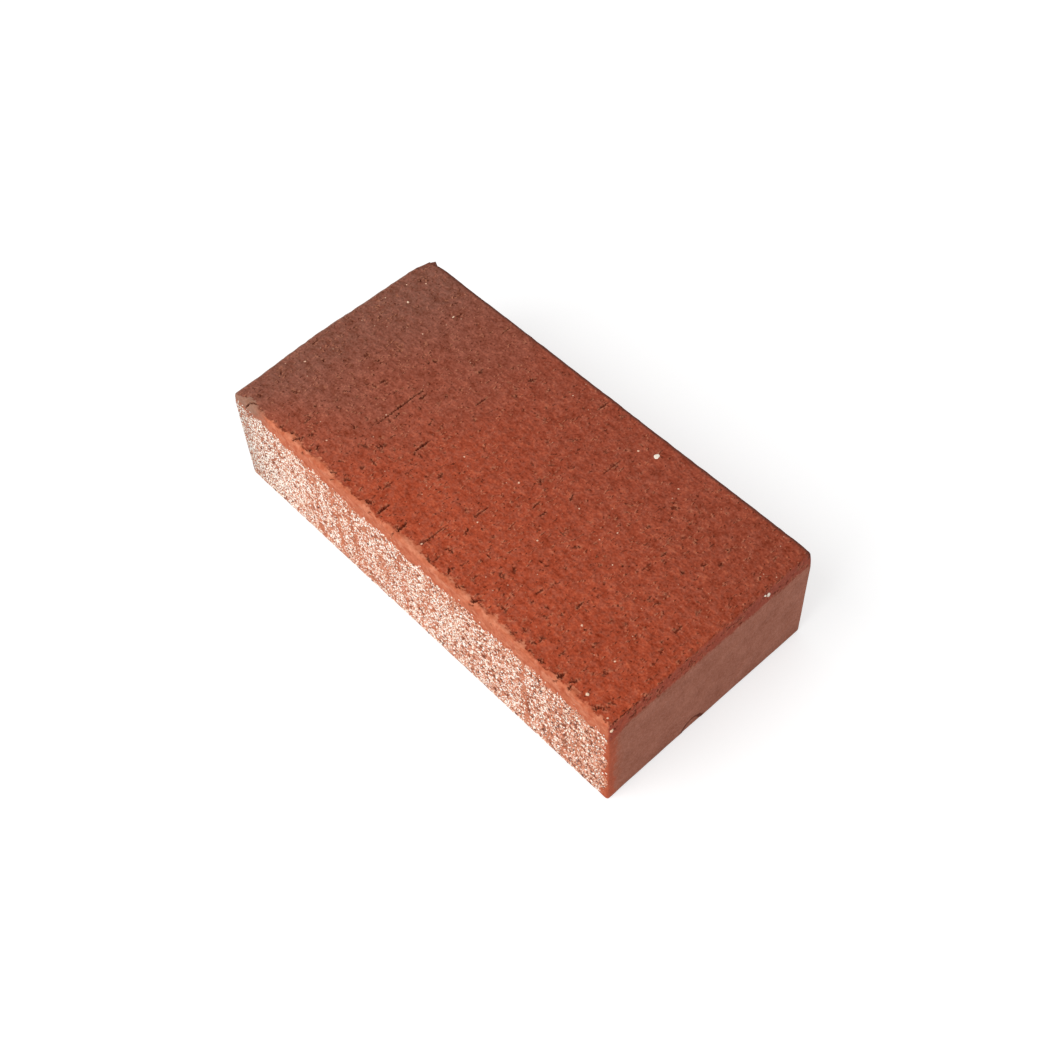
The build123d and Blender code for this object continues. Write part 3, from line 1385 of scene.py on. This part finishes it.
@dataclass(frozen=True)
class SandGrade:
    """One grade of the front's sand: grains that a node tree scatters over the clay."""

    name: str
    spacing: float
    density: float
    smallest: float
    largest: float
    sink: float
    segments: int
    rings: int
    seed: int
    gaps: float
    clump: float = SPREAD.clump * MM
    variants: int = 4
    jitter: float = 0.30
    least_flat: float = 0.7
    most_flat: float = 1.2

    def inputs(self) -> dict[str, float | int]:
        """Name the node tree's inputs, with this grade's values."""
        return {
            "Spacing": self.spacing,
            "Density": self.density,
            "Smallest": self.smallest,
            "Largest": self.largest,
            "Sink": self.sink,
            "Clump": self.clump,
            "Gaps": self.gaps,
            "Seed": self.seed,
        }

    def shapes(self, g: Graph) -> Socket:
        """Make a few uneven grains to choose from.

        Args:
            g: the node tree.

        Returns:
            The grains, as instances of about unit radius.
        """
        shapes = g.add("GeometryNodeJoinGeometry")
        for variant in range(self.variants):
            ball = g.add(
                "GeometryNodeMeshUVSphere",
                sockets={"Segments": self.segments, "Rings": self.rings, "Radius": 1.0},
            )
            push = Draw.VECTOR.add(g, (-self.jitter,) * 3, (self.jitter,) * 3, seed=variant)
            rock = g.add(
                "GeometryNodeSetPosition", sockets={"Geometry": ball.outputs["Mesh"], "Offset": push}
            )
            flat = g.add(
                "GeometryNodeSetShadeSmooth",
                sockets={"Geometry": rock.outputs["Geometry"], "Shade Smooth": False},
            )
            single = g.add(
                "GeometryNodeGeometryToInstance", sockets={"Geometry": flat.outputs["Geometry"]}
            )
            g.plug(shapes.inputs["Geometry"], single.outputs["Instances"])
        return shapes.outputs["Geometry"]

    def bedded(self, g: Graph, given: bpy.types.bpy_prop_collection) -> Socket:
        """Scatter points over the clay, leave out those in the gaps, and sink the rest.

        Args:
            g: the node tree.
            given: the tree's inputs.

        Returns:
            The points.
        """
        cover, dense = (
            g.add("GeometryNodeInputNamedAttribute", {"data_type": "FLOAT"}, {"Name": name})
            for name in ("cover", "dense")
        )
        points = g.add(
            "GeometryNodeDistributePointsOnFaces",
            {"distribute_method": "POISSON"},
            {
                "Mesh": given["Clay"],
                "Distance Min": given["Spacing"],
                "Density Max": given["Density"],
                "Density Factor": cover.outputs["Attribute"],
                "Seed": given["Seed"],
            },
        )
        clumps = g.add(
            "ShaderNodeTexNoise", sockets={"Scale": 1 / Value(g, given["Clump"]), "Detail": 1.0}
        )
        filled = Value(g, clumps.outputs[0]) + Value(g, dense.outputs["Attribute"])
        kept = g.add(
            "GeometryNodeDeleteGeometry",
            {"domain": "POINT"},
            {"Geometry": points.outputs["Points"], "Selection": filled.below(given["Gaps"])},
        )
        inward = g.scaled(points.outputs["Normal"], 0 - Value(g, given["Sink"]))
        sunk = g.add(
            "GeometryNodeSetPosition",
            sockets={"Geometry": kept.outputs["Geometry"], "Offset": inward},
        )
        return sunk.outputs["Geometry"]

    def tree(self, material: bpy.types.Material) -> tuple[bpy.types.NodeTree, dict[str, str]]:
        """Build the node tree that scatters the grains.

        Args:
            material: the grains' material.

        Returns:
            The tree, and the identifiers of its named inputs.
        """
        tree = bpy.data.node_groups.new(self.name, "GeometryNodeTree")
        face = tree.interface
        face.new_socket("Clay", in_out="INPUT", socket_type="NodeSocketGeometry")
        named = {}
        for name, value in self.inputs().items():
            kind = "NodeSocketInt" if isinstance(value, int) else "NodeSocketFloat"
            named[name] = face.new_socket(name, in_out="INPUT", socket_type=kind).identifier
        face.new_socket("Grains", in_out="OUTPUT", socket_type="NodeSocketGeometry")
        g = Graph(tree)
        given = g.add("NodeGroupInput").outputs
        size = Draw.NUMBER.add(g, given["Smallest"], given["Largest"], seed=7)
        flatten = Draw.VECTOR.add(g, (self.least_flat,) * 3, (self.most_flat,) * 3, seed=8)
        placed = g.add(
            "GeometryNodeInstanceOnPoints",
            sockets={
                "Points": self.bedded(g, given),
                "Instance": self.shapes(g),
                "Pick Instance": True,
                "Instance Index": Draw.WHOLE.add(g, 0, self.variants - 1, seed=5),
                "Rotation": Draw.VECTOR.add(g, (0.0,) * 3, (math.tau,) * 3, seed=6),
                "Scale": g.scaled(flatten, size),
            },
        )
        tinted = g.add(
            "GeometryNodeStoreNamedAttribute",
            {"data_type": "FLOAT", "domain": "INSTANCE"},
            {
                "Geometry": placed.outputs["Instances"],
                "Name": "tint",
                "Value": Draw.NUMBER.add(g, 0.0, 1.0, seed=9),
            },
        )
        real = g.add("GeometryNodeRealizeInstances", sockets={"Geometry": tinted.outputs["Geometry"]})
        done = g.add(
            "GeometryNodeSetMaterial",
            sockets={"Geometry": real.outputs["Geometry"], "Material": material},
        )
        g.add("NodeGroupOutput", sockets={"Grains": done.outputs["Geometry"]})
        return tree, named

    def unfold(self, mesh: bpy.types.Mesh) -> None:
        """Give each grain a square of its own in the bake's map.

        Args:
            mesh: the grains, one after another.
        """
        grains = places_of(mesh).reshape(-1, self.segments * (self.rings - 1) + 2, 3)
        low, high = grains.min(axis=1, keepdims=True), grains.max(axis=1, keepdims=True)
        inside = ((grains - low) / np.maximum(high - low, 1e-7))[:, :, (0, 2)] * 0.8 + 0.1
        columns = math.ceil(math.sqrt(len(grains)))
        row, column = np.divmod(np.arange(len(grains)), columns)
        flat = ((np.stack((column, row), axis=1)[:, None] + inside) / columns).reshape(-1, 2)
        write_map(mesh, flat[owners_of(mesh)])

    def build(self, clay: bpy.types.Mesh, material: bpy.types.Material) -> bpy.types.Object:
        """Scatter the grains and keep them as a plain mesh.

        Args:
            clay: a mesh with the numbers that say how much of it is covered.
            material: the grains' material.

        Returns:
            The grains as one object.
        """
        tree, named = self.tree(material)
        carrier = add_object(self.name, clay)
        scatter = carrier.modifiers.new("scatter", "NODES")
        scatter.node_group = tree
        for name, value in self.inputs().items():
            scatter[named[name]] = value
        graph = bpy.context.evaluated_depsgraph_get()
        mesh = bpy.data.meshes.new_from_object(
            carrier.evaluated_get(graph), preserve_all_data_layers=True, depsgraph=graph
        )
        bpy.data.objects.remove(carrier)
        self.unfold(mesh)
        return add_object(self.name, mesh)


@dataclass
class SandFace:
    """The sand of the front face, in its grades, thinner in a few upright streaks.

    A streak has its place along the front and its half width in millimetres, and the share of the
    sand that it lacks.
    """

    body: PaverBody
    finish: GrainFinish = GrainFinish(
        name="white_sand",
        bright=(0.97, 0.92, 0.84),
        cream=(0.93, 0.79, 0.64),
        warm=(0.80, 0.48, 0.36),
        # Near-black grains that stand in for painted shadow between the grains.
        dull=(0.14, 0.045, 0.028),
        warming=0.12,
        # Painted shade on the grains by the far end.
        far_end_shade=0.26,
    )
    grades: tuple[SandGrade, ...] = (
        SandGrade(
            name="coarse_sand",
            spacing=0.60 * MM,
            density=4.0e6,
            smallest=0.30 * MM,
            largest=0.58 * MM,
            sink=0.21 * MM,
            segments=5,
            rings=3,
            seed=3,
            gaps=0.435,
        ),
        SandGrade(
            name="fine_sand",
            spacing=0.60 * MM,
            density=2.0e6,
            smallest=0.14 * MM,
            largest=0.30 * MM,
            sink=0.05 * MM,
            segments=4,
            rings=3,
            seed=4,
            gaps=0.39,
        ),
    )
    streaks: tuple[Triple, ...] = (
        (-55, 1.6, 0.60),
        (-42, 2.2, 0.80),
        (-32, 2.2, 0.85),
        (-4.5, 1.7, 0.60),
        (11, 1.5, 0.55),
        (60, 1.7, 0.70),
        (79, 1.3, 0.60),
    )

    def cover(self, points: np.ndarray) -> np.ndarray:
        """Say how much sand each point of the front takes.

        Args:
            points: places on the square block.

        Returns:
            The cover at each point, from 0 to 1.
        """
        inside = self.body.borders(points)["sand"]
        upright = points * (1.0, 1.0, 0.22)
        cover = 0.92 * rise(inside, -0.8 * MM, 1.2 * MM) + 0.08 * rise(inside, -3.5 * MM, -0.8 * MM)
        cover *= np.clip(0.96 + 0.9 * wobble(upright, 4 * MM, 31, 2), 0.35, 1)
        cover = np.maximum(cover, 0.98 * rise(inside, 0, 1.5 * MM) * self.at_far_end(points))
        return cover * (1 - self.bare(points))

    def bare(self, points: np.ndarray) -> np.ndarray:
        """Say how bare the upright streaks are.

        Args:
            points: places on the square block.

        Returns:
            The share of the sand that is missing at each point, from 0 to 1.
        """
        drift = points[:, 0] / MM + 3 * wobble(points * (0, 0, 1), 9 * MM, 32)
        broken = np.clip(0.90 + 1.2 * wobble(points, 6 * MM, 33), 0.65, 1)
        bare = np.zeros(len(points))
        for place, wide, share in self.streaks:
            bare = np.maximum(bare, share * broken * rise(np.abs(drift - place), wide, wide * 0.3))
        return bare

    def at_far_end(self, points: np.ndarray) -> np.ndarray:
        """Say how far points lie in the thicker sand by the far end, from 0 to 1."""
        start, end = np.array(SPREAD.thick) * MM
        return rise(points[:, 0] + 26 * MM * wobble(points, 6 * MM, 34), start, end)

    def bed(self) -> bpy.types.Mesh:
        """Write the streaks onto the clay, and cut its front out in finer faces for the grains.

        Returns:
            The front's mesh, with its cover and how much denser its sand is.
        """
        front = self.body.on(Side.FRONT, self.body.cage)
        clay = self.body.object.data
        write_numbers(clay, "bare", self.bare(self.body.cage) * front)
        shape = bmesh.new()
        shape.from_mesh(clay)
        block = shape.verts.layers.float_vector.new("block")
        for vertex, place in zip(shape.verts, self.body.cage):
            vertex[block] = Vector(place)
        others = [face for face in shape.faces if not all(front[v.index] for v in face.verts)]
        bmesh.ops.delete(shape, geom=others, context="FACES")
        bmesh.ops.subdivide_edges(shape, edges=list(shape.edges), cuts=1, use_grid_fill=True)
        points = np.array([vertex[block] for vertex in shape.verts])
        mesh = bpy.data.meshes.new("sand_bed")
        shape.to_mesh(mesh)
        shape.free()
        along = points[:, 0]
        rising, falling = np.array(SPREAD.full) * MM
        dense = SPREAD.thicker * self.at_far_end(points)
        dense += SPREAD.fuller * rise(along, *rising) * rise(along, *falling)
        write_numbers(mesh, "cover", self.cover(points))
        write_numbers(mesh, "dense", dense)
        return mesh

    def build(self) -> list[bpy.types.Object]:
        """Scatter each grade over the front.

        Returns:
            One object for each grade.
        """
        clay = self.bed()
        material = self.finish.make()
        made = []
        for grade in self.grades:
            grains = grade.build(clay, material)
            self.body.trim(grains.data, foot=2 * MARGIN)
            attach(grains, BODY)
            made.append(grains)
        bpy.data.meshes.remove(clay)
        return made


# Lime in the clay

@dataclass
class PaleLumps:
    """Pale lumps of lime that show in the clay.

    Each lump on the top has its place and its width, and each in the band its place, width and tint.
    Places and widths are in millimetres.
    """

    body: PaverBody
    on_top: tuple[Triple, ...] = (
        (33.5, 40.8, 2.8), (-68.5, 34, 1.1), (-89.4, 38.1, 0.7), (-86.9, 26.6, 1.2),
        (-82.4, 12.6, 1.0), (-70.2, 19.8, 0.6), (-7.7, 39.1, 0.9), (27.2, 37.8, 0.9),
        (49.1, 35.6, 0.7), (-55.2, -39.2, 0.7), (-90.9, -21, 0.8), (-49.2, -16, 0.6),
        (-23.3, -19, 0.8), (-14.6, -8.5, 0.9), (7.8, -2.5, 0.8), (30.7, -15, 0.8), (66.1, -28, 0.9),
        (83.5, -30, 0.8), (73.3, -16, 0.6), (86, -45, 1.3), (96.8, -46.4, 0.7), (3.8, -44.5, 0.8),
        (-3.2, -39.5, 0.6), (-46, -47, 0.7), (47.6, 7, 0.6), (-94.3, 32.4, 0.6), (-94.8, 21.9, 0.6),
        (-80.0, 17.2, 0.6), (-29.9, 25.7, 0.6), (7.2, 13.9, 0.8), (10.4, -24.6, 0.7),
        (30.9, 4.8, 0.6), (45.3, 0.5, 0.6), (55.9, -3.7, 0.6),
    )
    on_band: tuple[tuple[Triple, float, float], ...] = (
        ((99.4, -47.5, 46.5), 1.5, 0.66),
        ((99.5, 26.6, 47.0), 1.7, 0.0),
        ((99.4, 25.0, 47.9), 1.0, 0.0),
    )
    flat: float = 0.55
    sunk: float = 0.18
    finish: GrainFinish = GrainFinish(
        name="lime",
        bright=(0.84, 0.74, 0.62),
        cream=(0.84, 0.60, 0.42),
        warm=(0.76, 0.44, 0.30),
        dull=(0.76, 0.44, 0.30),
        roughness=0.7,
    )

    @staticmethod
    def tint(size: float) -> float:
        """Choose a lump's tint: the largest is white, and the smallest take the clay's warmth."""
        return 0.0 if size > 2 else 0.66 if size > 1 else 0.8

    @staticmethod
    def lump(mesh: bmesh.types.BMesh, place: Vector, size: float, flat: float = 1.0) -> None:
        """Add one lump.

        Args:
            mesh: what it is added to.
            place: its middle, in metres.
            size: how wide it is.
            flat: its height as a share of its width.
        """
        ball = bmesh.ops.create_icosphere(mesh, subdivisions=2, radius=size / 2)
        for vertex in ball["verts"]:
            push = noise.noise(vertex.co / (size * 0.6) + place * 900)
            vertex.co *= 1 + 0.5 * push
            vertex.co.z *= flat
            vertex.co += place

    def build(self) -> bpy.types.Object:
        """Build the lumps as one object.

        Returns:
            The object, in its material and place.
        """
        shapes = bmesh.new()
        for x, y, size in self.on_top:
            drop = self.body.top_recess / MM + self.sunk * size
            place = Vector((x, y, self.body.height / MM - drop)) * MM
            self.lump(shapes, place, size * MM, self.flat)
        for place, size, _ in self.on_band:
            self.lump(shapes, Vector(place) * MM, size * MM)
        mesh = bpy.data.meshes.new("lime_lumps")
        shapes.to_mesh(mesh)
        shapes.free()
        self.body.trim(mesh)
        tints = [self.tint(size) for _, _, size in self.on_top]
        tints += [tint for _, _, tint in self.on_band]
        write_numbers(mesh, "tint", np.repeat(tints, len(mesh.vertices) // len(tints)))
        mesh.materials.append(self.finish.make())
        lumps = add_object("lime_lumps", mesh)
        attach(lumps, BODY)
        return lumps


# The studio

@dataclass
class Studio:
    """White floor, soft light and the camera."""

    aim: Triple = (9.1 * MM, -1.9 * MM, 25.0 * MM)
    azimuth: float = 49.66
    elevation: float = 53.99
    roll: float = -3.24
    distance: float = 584.2 * MM
    lens: float = 54.76
    sensor: float = 36.0
    floor_half: float = 0.75
    sky: float = 0.62
    key_power: float = 27.0
    key_size: float = 1.5
    key_away: float = 2.0
    key_from: Triple = (-0.08, -0.70, 0.71)
    floor_bounce: float = 0.80
    floor_shown: float = 0.52
    floor_glow: float = 0.57

    @staticmethod
    def seen(g: Graph) -> Value:
        """Say where a ray comes straight from the camera, a mirror or glass.

        Args:
            g: the node tree.

        Returns:
            1 for those rays and 0 for the rest.
        """
        path = g.add("ShaderNodeLightPath")
        direct, glossy, through = (
            Value(g, path.outputs[name])
            for name in ("Is Camera Ray", "Is Glossy Ray", "Is Transmission Ray")
        )
        return direct.most(glossy).most(through)

    def make_floor(self) -> None:
        """Lay the floor, which looks white and keeps the paver's shadow."""
        mesh = bpy.data.meshes.new("floor")
        half = self.floor_half
        corners = [(-half, -half, 0), (half, -half, 0), (half, half, 0), (-half, half, 0)]
        mesh.from_pydata(corners, [], [(0, 1, 2, 3)])
        floor = add_object("floor", mesh)
        material = bpy.data.materials.new("white_floor")
        material.use_nodes = True
        g = Graph(material.node_tree)
        shown = g.add("ShaderNodeBsdfDiffuse", sockets={"Color": (self.floor_shown,) * 3})
        glow = g.add("ShaderNodeEmission", sockets={"Color": (1, 1, 1), "Strength": self.floor_glow})
        both = g.add("ShaderNodeAddShader", sockets={0: shown.outputs[0], 1: glow.outputs[0]})
        bounce = g.add("ShaderNodeBsdfDiffuse", sockets={"Color": (self.floor_bounce,) * 3})
        choice = g.add(
            "ShaderNodeMixShader",
            sockets={0: self.seen(g), 1: bounce.outputs[0], 2: both.outputs[0]},
        )
        g.add("ShaderNodeOutputMaterial", sockets={"Surface": choice.outputs[0]})
        mesh.materials.append(material)

    def make_sky(self) -> None:
        """Light the scene evenly, with a white background."""
        world = bpy.data.worlds.new("studio")
        world.use_nodes = True
        bpy.context.scene.world = world
        g = Graph(world.node_tree)
        even = g.add("ShaderNodeBackground", sockets={"Color": (1, 1, 1), "Strength": self.sky})
        white = g.add("ShaderNodeBackground", sockets={"Color": (1, 1, 1), "Strength": 1.0})
        choice = g.add(
            "ShaderNodeMixShader",
            sockets={0: self.seen(g), 1: even.outputs[0], 2: white.outputs[0]},
        )
        g.add("ShaderNodeOutputWorld", sockets={"Surface": choice.outputs[0]})

    def make_key(self) -> None:
        """Hang a large soft lamp to the front and left."""
        lamp = bpy.data.lights.new("softbox", "AREA")
        lamp.energy = self.key_power
        lamp.size = self.key_size
        key = add_object("softbox", lamp)
        toward = Vector(self.key_from).normalized()
        key.location = Vector(self.aim) + toward * self.key_away
        key.rotation_euler = toward.to_track_quat("Z", "Y").to_euler()

    def make_camera(self) -> None:
        """Set the camera at the photograph's angle."""
        lens = bpy.data.cameras.new("camera")
        lens.lens = self.lens
        lens.sensor_width = self.sensor
        camera = add_object("camera", lens)
        around, up = math.radians(self.azimuth), math.radians(self.elevation)
        back = Vector((math.sin(around) * math.cos(up), -math.cos(around) * math.cos(up), math.sin(up)))
        turn = back.to_track_quat("Z", "Y") @ Quaternion((0, 0, 1), math.radians(self.roll))
        camera.location = Vector(self.aim) + back * self.distance
        camera.rotation_euler = turn.to_euler()
        bpy.context.scene.camera = camera

    def build(self) -> None:
        """Set up the floor, the light and the camera."""
        self.make_floor()
        self.make_sky()
        self.make_key()
        self.make_camera()
        bpy.context.scene.view_settings.view_transform = "Standard"


def report(piece: bpy.types.Object) -> None:
    """Log a piece's name and the number of its triangles."""
    piece.data.calc_loop_triangles()
    LOG.info("%s: %d triangles", piece.name, len(piece.data.loop_triangles))


def main() -> None:
    """Build the paver, its sand and the studio."""
    logging.basicConfig(level=logging.INFO, format="%(name)s: %(message)s")
    low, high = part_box(NODE)
    size = high - low
    body = PaverBody(size.x, size.y, size.z)
    report(body.build())
    body.dress(ClayFinish(size.x, size.y, size.z, body.band_drop))
    for grains in SandFace(body).build():
        report(grains)
    report(PaleLumps(body).build())
    Studio().build()


if __name__ == "__main__":
    main()
